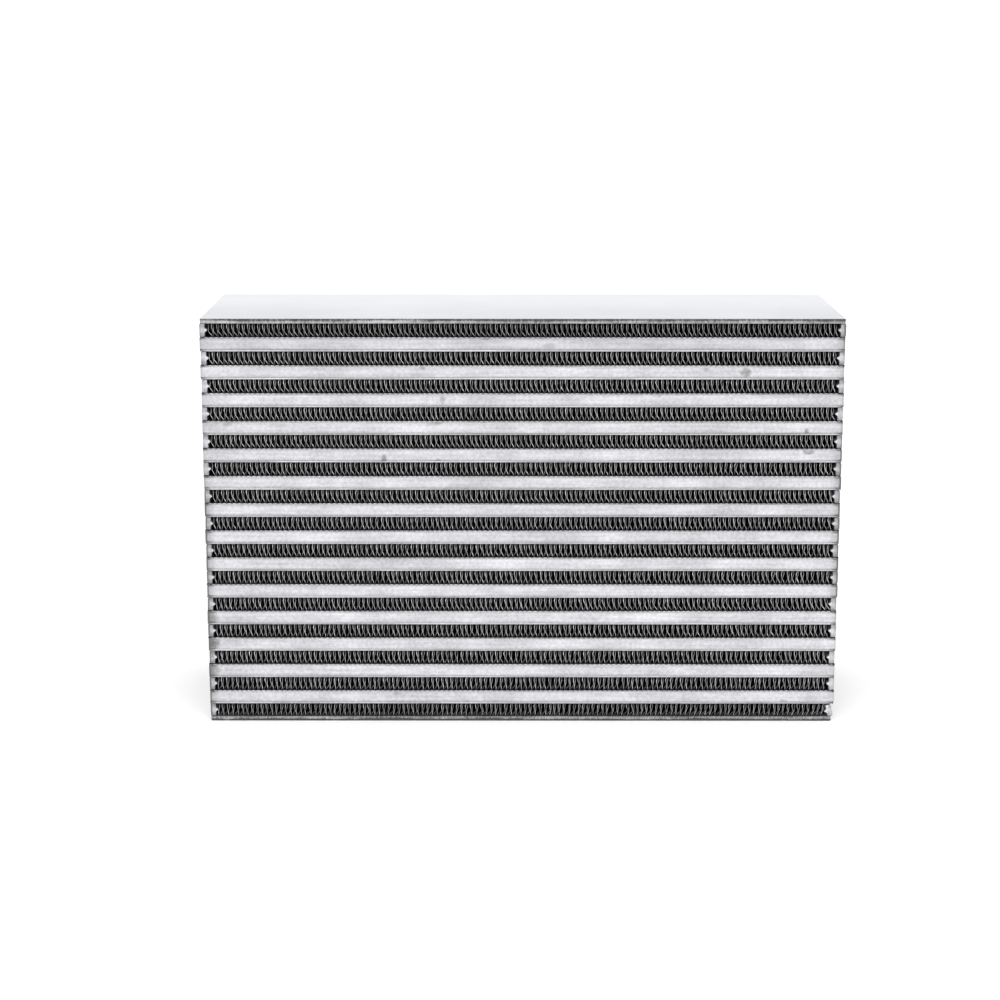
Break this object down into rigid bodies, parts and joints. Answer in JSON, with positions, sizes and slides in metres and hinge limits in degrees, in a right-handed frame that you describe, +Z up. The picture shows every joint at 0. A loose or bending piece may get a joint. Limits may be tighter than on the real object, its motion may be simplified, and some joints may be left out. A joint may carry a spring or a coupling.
{
  "type": "intercooler core",
  "caption": "Bar-and-plate core of an air-to-air intercooler, with folded cooling fins between flat tubes, open at the sides for its tanks.",
  "frame": {"origin": "middle of the underside of the bottom plate", "axes": "+X to the right along the charge-air tubes, +Y from the front face to the back the way the cooling air goes, +Z up through the layers"},
  "size_m": [0.457, 0.14, 0.2966],
  "materials": {
    "plate": "pale satin rolled plate, faintly mottled by brazing",
    "bar": "bright satin extruded bar with a few dark marks",
    "sheet": "sheared edges of rolled sheet, filled with brazing alloy",
    "fin": "thin rolled sheet, bright at its cut edges"
  },
  "bodies": {
    "root": {"bottom_plate": "plate", "top_plate": "plate", "end_bars": "bar", "air_fins_01": "fin", "air_fins_02": "fin", "air_fins_03": "fin", "air_fins_04": "fin", "air_fins_05": "fin", "air_fins_06": "fin", "air_fins_07": "fin", "air_fins_08": "fin", "air_fins_09": "fin", "air_fins_10": "fin", "air_fins_11": "fin", "air_fins_12": "fin", "air_fins_13": "fin", "air_fins_14": "fin", "air_fins_15": "fin", "tube_sheets_01": "sheet", "long_bars_01": "bar", "turbulator_01": "fin", "tube_sheets_02": "sheet", "long_bars_02": "bar", "turbulator_02": "fin", "tube_sheets_03": "sheet", "long_bars_03": "bar", "turbulator_03": "fin", "tube_sheets_04": "sheet", "long_bars_04": "bar", "turbulator_04": "fin", "tube_sheets_05": "sheet", "long_bars_05": "bar", "turbulator_05": "fin", "tube_sheets_06": "sheet", "long_bars_06": "bar", "turbulator_06": "fin", "tube_sheets_07": "sheet", "long_bars_07": "bar", "turbulator_07": "fin", "tube_sheets_08": "sheet", "long_bars_08": "bar", "turbulator_08": "fin", "tube_sheets_09": "sheet", "long_bars_09": "bar", "turbulator_09": "fin", "tube_sheets_10": "sheet", "long_bars_10": "bar", "turbulator_10": "fin", "tube_sheets_11": "sheet", "long_bars_11": "bar", "turbulator_11": "fin", "tube_sheets_12": "sheet", "long_bars_12": "bar", "turbulator_12": "fin", "tube_sheets_13": "sheet", "long_bars_13": "bar", "turbulator_13": "fin", "tube_sheets_14": "sheet", "long_bars_14": "bar", "turbulator_14": "fin"}
  },
  "joints": []
}
